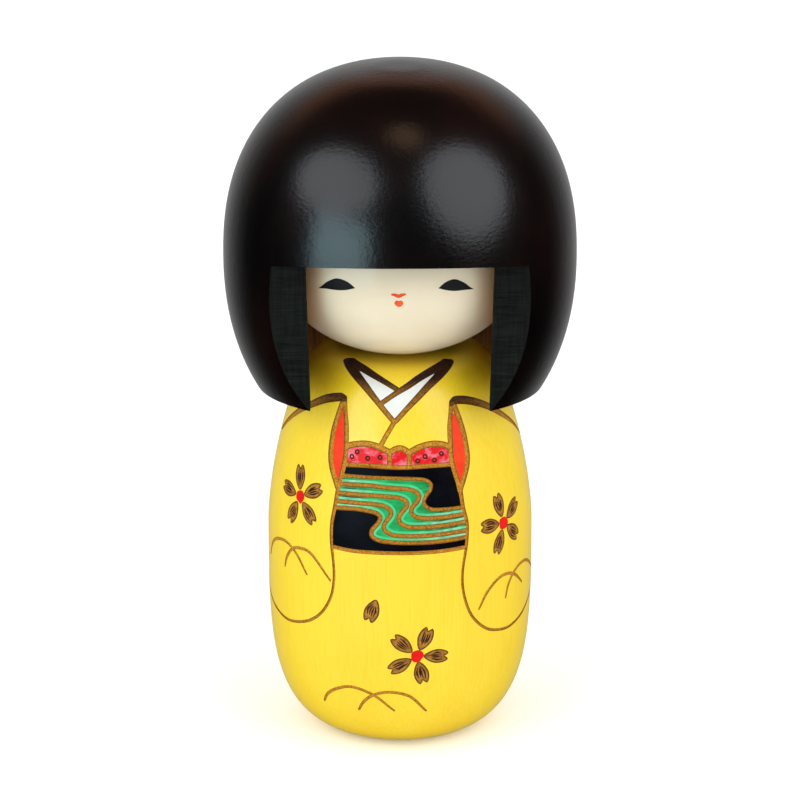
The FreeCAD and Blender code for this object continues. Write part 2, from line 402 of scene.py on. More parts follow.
def skin(name, sheet, chosen, normals, lift, look, body):
    """A thin closed layer over the chosen triangles, such as paint, standing lift above the wood."""
    triangles = sheet.triangles[chosen]
    used, flat_index = np.unique(triangles, return_inverse=True)
    triangles = flat_index.reshape(-1, 3)
    count = len(used)
    top = sheet.places[used] + sheet.normals[used] * lift * MM
    bottom = sheet.places[used] - sheet.normals[used] * SKIN_DEPTH * MM
    places = np.vstack([top, bottom])
    faces = [tuple(t) for t in triangles]
    corner_normals = [normals[used[i]] for t in triangles for i in t]
    directed = {(t[i], t[(i + 1) % 3]) for t in faces for i in range(3)}
    hidden = [(c + count, b + count, a + count) for a, b, c in faces]
    hidden += [(b, a, a + count, b + count) for a, b in sorted(directed) if (b, a) not in directed]
    for face in hidden:
        corner_normals += [face_normal(places, face)] * len(face)
    piece = make_piece(name, places, faces + hidden, corner_normals, [look.material], body)
    for attribute, values in (("across", sheet.share), ("burn", sheet.burn)):
        layer = piece.data.attributes.new(attribute, "FLOAT", "POINT")
        layer.data.foreach_set("value", np.tile(values[used], 2))
    return piece


# ---- Materials


class Nodes:
    """Short calls that add nodes to a shader tree, from values or other nodes' sockets."""

    def __init__(self, tree):
        self.tree = tree

    def add(self, kind, inputs=(), **settings):
        node = self.tree.nodes.new(kind)
        for key, value in settings.items():
            setattr(node, key, value)
        for key, value in dict(inputs).items():
            if isinstance(value, bpy.types.NodeSocket):
                self.tree.links.new(value, node.inputs[key])
            else:
                node.inputs[key].default_value = value
        return node

    def maths(self, operation, a, b=0.0, c=0.0, clamp=False):
        inputs = {0: a, 1: b, 2: c}
        return self.add("ShaderNodeMath", inputs, operation=operation, use_clamp=clamp).outputs[0]

    def mix(self, share, a, b, blend="MIX"):
        """Colour a going over to colour b."""
        inputs = {0: share, 6: a, 7: b}
        for key, value in inputs.items():
            if isinstance(value, tuple):
                inputs[key] = (*value, 1.0)
        return self.add("ShaderNodeMix", inputs, data_type="RGBA", blend_type=blend).outputs[2]


class Look(Nodes):
    """A material, and short calls for its patterns, which are in the frame's own metres."""

    def __init__(self, name, **values):
        self.material = bpy.data.materials.new(name)
        self.material.use_nodes = True
        super().__init__(self.material.node_tree)
        self.shader = self.tree.nodes["Principled BSDF"]
        for socket, value in values.items():
            self.shader.inputs[socket.replace("_", " ")].default_value = value
        self.place = self.add("ShaderNodeTexCoord").outputs["Object"]

    def noise(self, size, stretch=(1, 1, 1), detail=3.0, roughness=0.5):
        """Noise, 0 to 1, with features of about size mm, longer along an axis whose stretch is larger."""
        scale = tuple(1 / (size * MM * s) for s in stretch)
        moved = self.add("ShaderNodeMapping", {"Vector": self.place, "Scale": scale})
        settings = {"Vector": moved.outputs[0], "Scale": 1.0, "Detail": detail, "Roughness": roughness}
        return self.add("ShaderNodeTexNoise", settings).outputs["Fac"]

    def ramp(self, value, *stops):
        """The value from 0 to 1 turned into colours or numbers, given as (position, colour) stops."""
        node = self.add("ShaderNodeValToRGB", {"Fac": value})
        elements = node.color_ramp.elements
        while len(elements) < len(stops):
            elements.new(1.0)
        for element, (position, colour) in zip(elements, stops):
            element.position = position
            element.color = (*colour, 1.0) if isinstance(colour, tuple) else (colour, colour, colour, 1.0)
        return node.outputs["Color"]

    def attribute(self, name):
        return self.add("ShaderNodeAttribute", attribute_name=name).outputs["Fac"]

    def axis(self, name):
        return self.add("ShaderNodeSeparateXYZ", {0: self.place}).outputs[name]

    def set(self, socket, value):
        self.tree.links.new(value, self.shader.inputs[socket])

    def bump(self, height, depth):
        """Bumps depth mm deep."""
        node = self.add("ShaderNodeBump", {"Height": height, "Distance": depth * MM, "Strength": 1.0})
        self.set("Normal", node.outputs[0])
        return node


def stained_wood():
    """Yellow-stained wood under clear lacquer, with fine upright grain."""
    look = Look("stained_wood", Roughness=0.42, Coat_Weight=0.6, Coat_Roughness=0.2)
    grain = look.noise(0.55, (1, 1, 26), detail=5, roughness=0.6)
    cloud = look.noise(14, (1, 1, 2.5), detail=2)
    yellows = (0.3, (0.84, 0.57, 0.008)), (0.52, (0.87, 0.61, 0.016)), (0.72, (0.88, 0.63, 0.028))
    base = look.ramp(grain, *yellows)
    warm = look.ramp(cloud, (0.35, (1.0, 0.96, 0.8)), (0.65, (1.0, 1.0, 1.0)))
    base = look.mix(1.0, base, warm, "MULTIPLY")
    pores = look.ramp(look.noise(0.22, (1, 1, 14), detail=2), (0.66, 0.0), (0.74, 1.0))
    look.set("Base Color", look.mix(look.maths("MULTIPLY", pores, 0.2), base, (0.74, 0.42, 0.004)))
    look.bump(look.maths("ADD", grain, look.maths("MULTIPLY", pores, -0.5)), 0.012)
    return look.material


def burnt_line():
    """The burnt inside of an engraved line: tan in the middle, dark at the edges, black where pressed, and
    black at the tops of the collar and sleeve-fold lines as char and painted shade together.
    """
    look = Look("burnt_line", Roughness=0.6, Specular_IOR_Level=0.2)
    speck = look.noise(0.4, detail=4, roughness=0.75)
    tans = (0.32, (0.15, 0.042, 0.003)), (0.48, (0.48, 0.19, 0.012)), (0.68, (0.68, 0.34, 0.03))
    floor = look.ramp(speck, *tans)
    edge = look.ramp(look.attribute("across"), (0.52, 0.0), (0.8, 1.0))
    brown = look.mix(edge, floor, (0.06, 0.015, 0.002))
    # The black of char; the burn attribute also lays it near the tops of the collar and sleeve-fold lines as
    # painted shade.
    char_and_shade = look.ramp(speck, (0.35, (0.006, 0.002, 0.001)), (0.75, (0.075, 0.02, 0.008)))
    look.set("Base Color", look.mix(look.attribute("burn"), brown, char_and_shade))
    look.bump(look.noise(0.3, detail=3), 0.05)
    return look


def paint(name, colour, shade, roughness=0.35, cloud_size=3.0, coat=0.3, gloss=0.3, stops=(0.3, 0.62)):
    """Thick brushed paint under clear lacquer, going unevenly from one colour to the other.

    stops are the noise values up to which it is all shade, and from which it is all colour.
    """
    look = Look(name, Roughness=roughness, Specular_IOR_Level=gloss, Coat_Weight=coat, Coat_Roughness=0.2)
    cloud = look.noise(cloud_size, (1.6, 1.6, 1), detail=5, roughness=0.6)
    look.set("Base Color", look.ramp(cloud, (stops[0], shade), (stops[1], colour)))
    look.bump(look.noise(0.6, (1.5, 1.5, 1), detail=3), 0.03)
    return look


def straightness(look):
    """How straight the stream runs at each place, from nearly 0 at its bend to 1 at both sides."""
    aside = look.maths("ABSOLUTE", look.maths("ADD", look.axis("X"), -STREAM_BEND_X))
    return look.ramp(look.maths("MULTIPLY", aside, 1 / STREAM_HALF_WIDTH), (0.2, 0.15), (0.7, 1.0))


def stream_green():
    """Green paint, brushed darker where the stream runs straight."""
    look = paint("stream_green", (0.012, 0.4, 0.11), (0.008, 0.24, 0.05), coat=0.1, gloss=0.2)
    plain = look.shader.inputs["Base Color"].links[0].from_socket
    streak = look.ramp(look.noise(0.45, (6, 6, 1), detail=4, roughness=0.7), (0.4, 0.0), (0.58, 1.0))
    dark = look.maths("MULTIPLY", straightness(look), streak)
    look.set("Base Color", look.mix(dark, plain, (0.012, 0.06, 0.012)))
    return look


def stream_mint():
    """Pale green along the stream's lines, going over to its green at the bend."""
    look = paint("stream_mint", (0.24, 0.58, 0.34), (0.04, 0.3, 0.12), cloud_size=1.2, coat=0.1, gloss=0.2)
    plain = look.shader.inputs["Base Color"].links[0].from_socket
    look.set("Base Color", look.mix(straightness(look), (0.03, 0.5, 0.17), plain))
    return look


def face_paint():
    """Smooth cream paint under a soft clear lacquer, with painted shade going brown towards both locks."""
    look = Look("face_paint", Roughness=0.4, Specular_IOR_Level=0.35, Coat_Weight=0.4, Coat_Roughness=0.12)
    cloud = look.noise(9, detail=3)
    cream = look.ramp(cloud, (0.3, (0.72, 0.605, 0.425)), (0.7, (0.75, 0.64, 0.46)))
    # Painted shade: the cream is multiplied towards brown near both sides of the ball, where the locks shade
    # it.
    aside = look.maths("MULTIPLY", look.maths("ABSOLUTE", look.axis("X")), 1 / BORE_RADIUS)
    shade = look.ramp(aside, (0.54, (1.0, 1.0, 1.0)), (0.72, (0.96, 0.62, 0.36)))
    look.set("Base Color", look.mix(1.0, cream, shade, "MULTIPLY"))
    look.bump(look.noise(0.8, detail=2), 0.006)
    return look.material


def hair_lacquer():
    """Deep black-brown gloss lacquer, with the faint dimples of a brushed coat."""
    look = Look("hair_lacquer", Roughness=0.3, Specular_IOR_Level=0.08, Coat_Weight=1.0,
                Coat_Roughness=0.23, Coat_IOR=1.6)
    cloud = look.noise(16, (1, 1, 1.6), detail=3)
    browns = (0.35, (0.0012, 0.0006, 0.0006)), (0.7, (0.007, 0.0016, 0.0012))
    look.set("Base Color", look.ramp(cloud, *browns))
    dimples = look.bump(look.noise(0.65, (1.6, 1.6, 1), detail=3, roughness=0.6), 0.045)
    look.set("Coat Normal", dimples.outputs[0])
    return look.material


def sawn_black():
    """Flat black stain on a sawn face, with fine level saw lines."""
    look = Look("sawn_black", Roughness=0.7, Specular_IOR_Level=0.15)
    lines = look.noise(0.3, (30, 30, 1), detail=4, roughness=0.7)
    grain = look.noise(0.5, (1, 1, 20), detail=3)
    both = look.maths("ADD", look.maths("MULTIPLY", lines, 0.7), look.maths("MULTIPLY", grain, 0.3))
    look.set("Base Color", look.ramp(both, (0.38, (0.0015, 0.002, 0.0015)), (0.64, (0.009, 0.012, 0.009))))
    look.bump(lines, 0.06)
    return look.material


def bored_wood():
    """The dark-stained wall of the hair's bore, with the rings that the turning tool leaves."""
    look = Look("bored_wood", Roughness=0.55)
    rings = look.noise(0.35, (60, 60, 1), detail=3)
    grain = look.noise(0.8, (1, 1, 20), detail=4)
    stain = look.ramp(grain, (0.3, (0.05, 0.013, 0.003)), (0.7, (0.2, 0.06, 0.014)))
    look.set("Base Color", look.mix(look.maths("MULTIPLY", rings, 0.6), stain, (0.02, 0.007, 0.004)))
    look.bump(rings, 0.05)
    return look.material


def bare_wood():
    """Unpainted pale wood, with fine grain along the dowel."""
    look = Look("dowel_wood", Roughness=0.6)
    grain = look.noise(1.1, (1, 1, 30), detail=5, roughness=0.6)
    look.set("Base Color", look.ramp(grain, (0.35, (0.5, 0.31, 0.14)), (0.62, (0.72, 0.5, 0.27))))
    look.bump(grain, 0.03)
    return look.material


# ---- The kimono


def band_on_left(line, near, far):
    """The outline of a band along a line's left-hand side, between two multiples of its half width."""
    count = len(line.rows)
    return np.vstack([line.loop(near)[0][:count], line.loop(far)[0][:count][::-1]])


def petal(surface, heart, direction, rng):
    """A notched petal's outline and dark strokes, and its area. heart is the flower's middle."""
    turn = math.radians(direction)

    def at(out, side):
        across = out * math.cos(turn) - side * math.sin(turn)
        up = out * math.sin(turn) + side * math.cos(turn)
        return surface.beside(*heart, across, up)

    half = [(2.7, 0.95), (4.3, 1.5), (5.8, 1.35), (6.9, 0.75)]
    shape = [(1.6, 0), *half, (6.1, 0), *[(out, -side) for out, side in reversed(half)]]
    outline = [at(*p) for p in shape]
    lines = [Line(surface, outline, width=0.32, burn=0.7, closed=True)]
    for side in (-0.8, -0.3, 0.25, 0.75):
        start, end = 2.6 + 0.7 * rng.random(), 5.2 + 0.7 * rng.random()
        middle = 0.5 * (start + end)
        bulge = side + 0.4 * (rng.random() - 0.5)
        path = [(start, 0.5 * side, 0.12), (middle, bulge, 0.36), (end, 0.9 * side, 0.16)]
        lines.append(Line(surface, [(*at(out, aside), width) for out, aside, width in path], burn=1.0))
    return lines, rounded_area(surface, outline)


def flower(surface, angle, height, turn, rng):
    """Five petals and a red heart. turn is the direction of the first petal, in degrees from the right."""
    lines, petals = [], []
    for i in range(5):
        petal_lines, area = petal(surface, (angle, height), turn + 72 * i, rng)
        lines += petal_lines
        petals.append(area)
    heart = []
    for i in range(10):
        reach = 1.25 + 0.35 * rng.random()
        around = 2 * math.pi * i / 10
        heart.append(surface.beside(angle, height, reach * math.cos(around), reach * math.sin(around)))
    return lines, petals, rounded_area(surface, heart)


def kimono(surface):
    """Every engraved line and painted area of the kimono."""
    rng = np.random.default_rng(7)
    lines, areas = [], {}

    def line(points, **settings):
        lines.append(Line(surface, points, **settings))

    def area(name, *outlines):
        for points in outlines:
            areas.setdefault(name, []).append(Area(np.array([surface.flat(*p) for p in points])))

    # Collar: a band from each shoulder, crossing with the doll's left side on top
    for edge in (
        [(-46.5, 86.78, 2.8), (-31.5, 85.5, 2.1), (-21.8, 83.8, 1.7), (-14.7, 81.7, 1.4), (-8.8, 79.4, 1.2),
         (-3, 77, 1.15)],
        [(-46.5, 86.78, 2.8), (-30, 86.4, 2.2), (-17.9, 85.6, 1.7), (-8.9, 84.6, 1.35), (-1.4, 83.4, 1.15)],
        [(43, 86.78, 2.8), (27, 85.4, 2.0), (17.3, 83.8, 1.6), (9.9, 81.8, 1.4), (3.6, 79.6, 1.2),
         (-2.2, 77.2, 1.15)],
        [(43, 86.78, 2.8), (26.2, 86.3, 2.2), (13.8, 85.4, 1.8), (4.4, 84, 1.5), (-3.5, 82.5, 1.2),
         (-10.7, 80.6, 1.15)],
    ):
        # Painted shade as well as char: each edge darkens towards its top, under the chin.
        line(edge, burn=2.2, fade=4.0)
    line([(-3.2, 76.9), (-6.8, 74.3), (-9.5, 72.1)], width=1.05)
    area("collar_white",
         [(-30, 85.9), (-17.9, 85.5), (-8.9, 84.6), (-2.5, 83.2), (-10.7, 80.7), (-14.7, 81.7),
          (-21.8, 83.8)],
         [(26.5, 85.9), (13.8, 85.4), (4.4, 84), (-3.5, 82.4), (-9.8, 80.7), (-8.8, 79.4), (-2.8, 77.1),
          (3.6, 79.6), (9.9, 81.8), (17.3, 83.8)])

    # Sleeves: the fold over each shoulder, the slit with its red lining, and the edge round to the back
    # Painted shade as well as char: each fold line darkens towards its top, under the hair.
    line([(-84.5, 68.6, 1.1), (-75, 72.1, 1.3), (-66, 74.9, 1.4), (-57.1, 77.2, 1.6), (-46, 79.6, 1.9),
          (-36.5, 80.8, 1.9), (-33, 80.8, 1.5)], burn=0.9, fade=3.0)
    line([(87.5, 66.9, 0.35), (80, 69.9, 0.95), (69.4, 73.2, 1.3), (54.5, 77.3, 1.6), (42, 79.6, 1.8),
          (33, 80.4, 1.8), (30, 80.1, 1.4)], burn=0.9, fade=3.0)
    line([(-32.8, 80.8, 1.4), (-30.6, 78.2), (-28.7, 75.1, 1.25), (-27.2, 70.4, 1.2), (-27.5, 67, 1.2),
          (-28.9, 63, 1.2)])
    line([(29.9, 80, 1.4), (27.8, 77.6), (26.4, 74.8, 1.25), (25.4, 69.4, 1.2), (26.2, 66, 1.2),
          (28.1, 62.7, 1.2)])
    line([(-33.2, 80.2, 1.4), (-34.9, 76.6, 1.3), (-35.9, 73.1, 1.3), (-34.8, 67.6, 1.3),
          (-29.6, 62.2, 1.2)])
    line([(31, 79.4, 1.4), (33, 76, 1.3), (34.1, 72.4, 1.3), (33.7, 67.4, 1.3), (28.4, 61.8, 1.2)])
    area("lining_red",
         [(-33, 78.6), (-35, 75.5), (-35.6, 72.6), (-34.4, 67.6), (-29.4, 63.4), (-27.6, 67), (-27.4, 70.4),
          (-29, 75.1), (-31, 78.2)],
         [(30.8, 78.2), (33.2, 74.6), (33.8, 71.6), (33.4, 67.4), (28.6, 63), (26.4, 66), (25.6, 69.5),
          (26.8, 74.8), (28.6, 77.5)])
    line([(-29, 63, 1.1), (-30, 58, 0.95), (-31, 54.3, 0.85), (-30.8, 50.5, 0.8), (-29.6, 45.5, 0.65),
          (-29.4, 41.5), (-31, 37.4), (-35.6, 33.4), (-42.5, 30.6), (-52, 28.9), (-62, 28.5), (-77, 30.3),
          (-91, 34.4), (-103, 40.4), (-111, 48.5), (-114.5, 57.5), (-113, 66, 0.65), (-108, 73, 0.3)],
         width=0.65)
    line([(28.2, 62.6, 1.1), (29, 58, 0.95), (30.4, 54.3, 0.85), (29.8, 50.2, 0.8), (28, 45, 0.65),
          (27.6, 41), (29, 37), (32.4, 32.9), (38.5, 29.6), (46, 27.8), (57.4, 27.2), (73, 29.2),
          (89, 33.6), (102, 40), (110.5, 48.5), (114, 57.5), (112.5, 66, 0.65), (107.5, 73, 0.3)],
         width=0.65)
    for cloud in (
        [(-77.5, 40.6), (-73.5, 43.8), (-67, 45.9), (-58.2, 46.6), (-50.5, 44.9), (-44, 41.1)],
        [(-59.5, 40.8), (-58, 43), (-54.2, 45.4), (-48.7, 46.6), (-41, 46.1), (-31.2, 41.2)],
        [(36.2, 34), (40.5, 37.3), (46.5, 39.5), (52.6, 40), (59.5, 38.8), (66.5, 35.9)],
        [(52.4, 34.5), (54.5, 37.4), (59, 39.6), (65, 40.5), (73, 39.8), (85.6, 36)],
        [(-38.8, 11.4), (-35.4, 13.7), (-29.5, 15.6), (-21.8, 16.6), (-12, 15.1), (-2.8, 11.3)],
        [(-19.9, 10.9), (-17, 13.2), (-12, 15.2), (-4.5, 16.1), (4.5, 15), (12.4, 11)],
        [(196, 11.4), (189.5, 14.6), (180, 16.2), (170.5, 14.6), (164, 11.4)],
        [(178, 11), (171.5, 14.4), (163, 15.8), (154, 14.6), (147, 11)],
    ):
        taper = [0.5, *[0.72] * (len(cloud) - 2), 0.5]
        line([(*p, width) for p, width in zip(cloud, taper)])

    # Obi: the scarf above it, the black band, and the stream of five lines that runs across it
    line([(-27.2, 71.1), (-23, 71.8), (-17, 72.2), (-11, 71.8), (-5, 70.7)], width=1.4)
    line([(25.3, 71), (21.8, 71.8), (16, 72.2), (9.5, 71.7), (4.2, 70.6)], width=1.4)
    line([(-4.9, 70.7), (-2.3, 71.4), (0, 71.6), (2.3, 71.3), (4.1, 70.6)], width=1.35)
    line([(-4.7, 70.7), (-5.1, 69.3), (-4.8, 67.7)], width=1.05)
    line([(4.1, 70.7), (4.6, 69.3), (4.2, 67.7)], width=1.05)
    line([(-27.2, 67.3), (-15, 67.7), (0, 67.6), (13, 67.7), (25.6, 67.5)], width=1.05)
    area("scarf_red",
         [(-27.2, 71), (-23, 71.7), (-17, 72.1), (-11, 71.8), (-5, 70.7), (-5, 67.7), (-15, 67.8),
          (-27.2, 67.4)],
         [(26, 70.8), (21.8, 71.7), (16, 72.1), (9.5, 71.7), (4.4, 70.7), (4.4, 67.7), (13, 67.7),
          (25.6, 67.5)],
         [(-4.8, 70.7), (-2.3, 71.4), (0, 71.6), (2.3, 71.4), (4.1, 70.7), (4.4, 67.7), (-5, 67.7)])
    for angle, height in ((-23.7, 69.2), (-21.2, 70.3), (-15.6, 69.2), (-9.6, 69.6), (8.5, 68.9),
                          (12.2, 69.7), (16.6, 68.8), (20.4, 70)):
        ring = [surface.beside(angle, height, 0.42 * math.cos(a), 0.42 * math.sin(a))
                for a in np.linspace(0, 2 * math.pi, 8, endpoint=False)]
        line(ring, width=0.36, burn=0.95, closed=True)
    left = [(-27.8, 65.2), (-28.9, 62.2), (-30, 58), (-31, 54.5), (-31, 51.3)]
    right = [(25.7, 67.6), (26.7, 65.3), (27.8, 61.6), (29, 58), (30.2, 54.6), (30, 51.4)]
    foot = [(-30.4, 49.1), (-20, 48.9), (-7.5, 49), (8.5, 49), (19, 49), (29.4, 49.1)]
    line([(-27, 67.4), *left[:2]], width=0.85)
    line(right[:3], width=0.85)
    line(foot, width=0.85)
    area("obi_black", [(-27.4, 67.4), *left, *foot, *reversed(right)])
    stream = [
        [(-27.8, 65), (-17.5, 65.2), (-4, 65.3), (7.5, 65.1), (12, 64.7), (14.2, 63.8), (13.8, 62.6),
         (11.6, 61.3), (10.6, 60.1), (12, 58.9), (15.5, 58.3), (21.5, 58.1), (28.6, 58)],
        [(-28.2, 63.1), (-15, 63.5), (-3.5, 63.2), (3, 63), (7, 62.4), (8.6, 61.4), (7.5, 60.2), (5.4, 59.1),
         (5, 58), (6.5, 57.1), (10, 56.6), (17.5, 56.4), (29.2, 56.4)],
        [(-28.9, 61.1), (-17, 61.4), (-8, 61.4), (-1, 61.2), (2.5, 60.5), (3, 59.4), (1, 58.2), (-0.5, 57),
         (0, 55.9), (2.5, 55), (7, 54.7), (17.5, 54.6), (29.8, 54.7)],
        [(-29.6, 59.3), (-21, 59.5), (-12, 59.6), (-7, 59.3), (-4.2, 58.4), (-4.2, 57.3), (-6, 56.1),
         (-7.1, 54.9), (-6, 53.8), (-2.5, 53), (2.5, 52.8), (13, 52.7), (30, 52.8)],
        [(-30, 57.8), (-21, 58.2), (-15, 58.1), (-10.5, 57.7), (-8.6, 56.8), (-9.8, 55.4), (-12, 54.1),
         (-12.3, 52.8), (-10, 51.9), (-5, 51.5), (4.5, 51.3), (17, 51.2), (29.8, 51.3)],
    ]
    line(stream[0], width=0.85, burn=0.15)
    area("stream_green", [*stream[0], *reversed(stream[-1])])
    for course in stream[1:]:
        line(course, burn=0.15)
        areas.setdefault("stream_mint", []).append(Area(band_on_left(lines[-1], 1.1, 2.1)))

    # Back: the obi again between the sleeves, and its drum knot held by a red cord
    drum = [(158, 47), (161, 45.6), (180, 45.2), (199, 45.6), (202, 47), (202.5, 58), (202, 69), (199, 70.6),
            (180, 71), (161, 70.6), (158, 69), (157.5, 58)]
    band = [(114.5, 67.2), (150, 67), (210, 67), (245.5, 67.2), (245, 58), (247, 51), (210, 50.4),
            (150, 50.4), (113, 51), (115, 58)]
    area("obi_black", band, drum)
    area("cord_red", [(157.6, 59.4), (180, 59.6), (202.4, 59.4), (202.4, 57), (180, 57.2), (157.6, 57)])
    line(drum, closed=True)
    for height in (59.5, 57):
        line([(157.8, height), (180, height + 0.15), (202.2, height)], width=0.6)
    for ends in (((112.6, 67.3), (135, 67), (158, 67)), ((111.5, 51), (135, 50.5), (158, 50.4))):
        line(ends, width=0.95)
        line([(360 - angle, height) for angle, height in ends], width=0.95)

    # Flowers, and one fallen petal
    for flower_at in ((-50.6, 58, 29), (51.3, 52, 31), (7.4, 25, -5), (150, 30, 12), (-160, 24, 40)):
        flower_lines, petals, heart = flower(surface, *flower_at, rng)
        lines += flower_lines
        areas.setdefault("petal_brown", []).extend(petals)
        areas.setdefault("flower_red", []).append(heart)
    fallen_lines, fallen = petal(surface, (-9.1, 39.5), -110, rng)
    lines += fallen_lines
    areas["petal_brown"].append(fallen)
    return lines, areas


# ---- Pieces


def ring_at(sheet, along):
    """The points of the sheet at one flat height, in order round the piece."""
    used = np.unique(sheet.triangles)
    level = used[np.abs(sheet.flat[used, 1] - along) < LEVEL_TOLERANCE]
    return list(level[np.argsort(sheet.flat[level, 0])])


def add_rings(places, faces, angles, ring, profile, downwards):
    """Goes on from a ring of points through rings of the profile's (radius, height), and closes the last."""
    for radius, height in profile:
        first = len(places)
        places += [(math.sin(a) * radius * MM, -math.cos(a) * radius * MM, height * MM) for a in angles]
        following = list(range(first, len(places)))
        low, high = (following, ring) if downwards else (ring, following)
        for i in range(len(ring)):
            j = (i + 1) % len(ring)
            faces.append((low[i], low[j], high[j], high[i]))
        ring = following
    centre = len(places)
    places.append((0.0, 0.0, profile[-1][1] * MM))
    for i in range(len(ring)):
        j = (i + 1) % len(ring)
        faces.append((centre, ring[j], ring[i]) if downwards else (ring[i], ring[j], centre))


def build_body(wood):
    """The turned body with its engraved lines cut in, and every painted layer on it."""
    surface = TurnedSurface("body", hole_radius=5.0, centre_height=45.0)
    surface.extend_flat(inner_radius=6.0)
    lines, areas = kimono(surface)
    owner = [name for name, group in areas.items() for _ in group]
    half_round = math.pi * surface.reference
    every_area = [area for group in areas.values() for area in group]
    sheet = Sheet(surface, (-half_round, 0.0), (half_round, surface.length), BODY_STEP, lines, every_area)

    groove_normals = sheet.groove_normals()
    places = [tuple(p) for p in sheet.places]
    faces = [tuple(t) for t in sheet.triangles]
    corner_normals = []
    for triangle, engraved in zip(sheet.triangles, sheet.engraved):
        source = groove_normals if engraved else sheet.normals
        corner_normals += [source[i] for i in triangle]
    shown = len(faces)
    base = ring_at(sheet, 0.0)
    top = ring_at(sheet, surface.length)
    rim = surface.outline[0, 0]
    # Radius and height (mm): the turned rings under the base, and the neck dowel's bore
    foot = [(rim - 1.5, 0.0), (rim - 2.0, 0.3), (9.0, 0.4), (8.6, 0.3), (8.2, 0.4), (3.0, 0.4), (2.6, 0.3),
            (2.2, 0.4)]
    bore = [(4.5, 86.9), (4.04, 86.5), (4.04, 70.9), (2.0, 70.4)]
    add_rings(places, faces, sheet.flat[base, 0] / surface.reference, base, foot, downwards=True)
    add_rings(places, faces, sheet.flat[top, 0] / surface.reference, top, bore, downwards=False)
    for face in faces[shown:]:
        corner_normals += [face_normal(places, face)] * len(face)
    used = sorted({i for face in faces for i in face})
    renumber = {old: new for new, old in enumerate(used)}
    faces = [tuple(renumber[i] for i in face) for face in faces]
    places = [places[i] for i in used]
    piece = make_piece("body_wood", places, faces, corner_normals, [wood], "torso")
    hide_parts("body")

    burnt = burnt_line()
    skin("engraved_lines", sheet, sheet.engraved, groove_normals, LINE_LIFT, burnt, "torso")
    lining = paint("lining_red", (0.88, 0.045, 0.005), (0.78, 0.022, 0.003), coat=0.05, gloss=0.15)
    red = paint("flower_red", (0.72, 0.006, 0.004), (0.58, 0.003, 0.002), coat=0.05, gloss=0.15)
    scarf = paint("scarf_red", (0.76, 0.17, 0.22), (0.64, 0.006, 0.009), cloud_size=1.5, coat=0.05,
                  gloss=0.15, stops=(0.47, 0.66))
    white = paint("white_lacquer", (0.76, 0.75, 0.69), (0.68, 0.66, 0.59))
    black = paint("obi_black", (0.003, 0.003, 0.006), (0.001, 0.001, 0.002), coat=0.0, gloss=0.07)
    brown = paint("petal_brown", (0.44, 0.18, 0.015), (0.15, 0.045, 0.005), roughness=0.5, cloud_size=0.9)
    finishes = {
        "collar_white": (white, "white_paint"),
        "lining_red": (lining, "red_paint"),
        "scarf_red": (scarf, "red_paint"),
        "cord_red": (red, "red_paint"),
        "obi_black": (black, "obi_black"),
        "stream_green": (stream_green(), "stream_green"),
        "stream_mint": (stream_mint(), "stream_green"),
        "petal_brown": (brown, "burnt_line"),
        "flower_red": (red, "red_paint"),
    }
    for name, (look, slot) in finishes.items():
        own = [i for i, area_name in enumerate(owner) if area_name == name]
        chosen = np.isin(sheet.area_of, own) & ~sheet.engraved
        skin(f"kimono_{name}", sheet, chosen, sheet.normals, PAINT_LIFT, look, "torso")


def almond(surface, upper, lower):
    """An area between a curve and a lower one that goes back from its end to its start."""
    there_and_back = (upper, [upper[-1], *lower, upper[0]])
    curves = [smooth([surface.flat(*p) for p in curve], CURVE_STEP)[:-1] for curve in there_and_back]
    return Area(np.vstack(curves))


def brush_stroke(surface, points):
    """An area painted with one stroke of the brush."""
    return Area(Line(surface, points).loop(1.0)[0])


def build_face():
    """The eyes and lips, painted on the head ball."""
    charcoal = paint("charcoal", (0.014, 0.014, 0.015), (0.009, 0.009, 0.01), coat=0.0, gloss=0.12)
    vermilion = paint("vermilion", (0.8, 0.1, 0.025), (0.66, 0.05, 0.012), coat=0.0)
    surface = TurnedSurface("head_ball", hole_radius=5.0, centre_height=108.2)
    eyes = [
        almond(surface, [(-38.6, 106.6), (-36.3, 107.4), (-33.6, 108.5), (-28.7, 109.6), (-23.6, 109.2),
                         (-19.8, 108.0)], [(-24.4, 107.3), (-28.7, 107.0), (-34, 106.9)]),
        almond(surface, [(16.9, 108.1), (20.3, 109.3), (24.6, 109.7), (29.3, 108.6), (32, 107.5),
                         (34.2, 106.8)], [(29, 107.0), (24.6, 107.1), (20.6, 107.5)]),
    ]
    lips = [
        brush_stroke(surface, [(-3.4, 107.05, 0.45), (-2.0, 106.95, 0.7), (-0.6, 106.65, 0.8),
                               (0.7, 106.95, 0.75), (2.2, 107.1, 0.45)]),
        rounded_area(surface, [(-2.5, 105.1), (-1.6, 105.7), (-0.5, 105.6), (0.6, 105.7), (1.5, 105.1),
                               (0.7, 104.4), (-0.5, 104.2), (-1.7, 104.45)]),
    ]
    sheet = Sheet(surface, surface.flat(-45, 101), surface.flat(45, 112), FACE_STEP, [], eyes + lips)
    finishes = (("face_eyes", (0, 1), charcoal, "obi_black"), ("face_lips", (2, 3), vermilion, "red_paint"))
    for name, own, look, slot in finishes:
        skin(name, sheet, np.isin(sheet.area_of, own), sheet.normals, PAINT_LIFT, look, "head")


def hair_side(place, normal):
    """Which finish a face of the hair has: 0 for the lacquered outside, 1 for sawn, 2 for the bore."""
    lock_face = normal.y < -SQUARE_ON and place.y > LOCK_FRONT_Y
    window_side = abs(normal.x) > SQUARE_ON and abs(place.x) < WINDOW_SIDE_X
    if normal.z < UNDERSIDE or lock_face or window_side:
        return 1
    inwards = place.x * normal.x + place.y * normal.y < 0 or math.hypot(place.x, place.y) < BORE_RADIUS
    return 2 if inwards and place.z < CAVITY_TOP_Z else 0


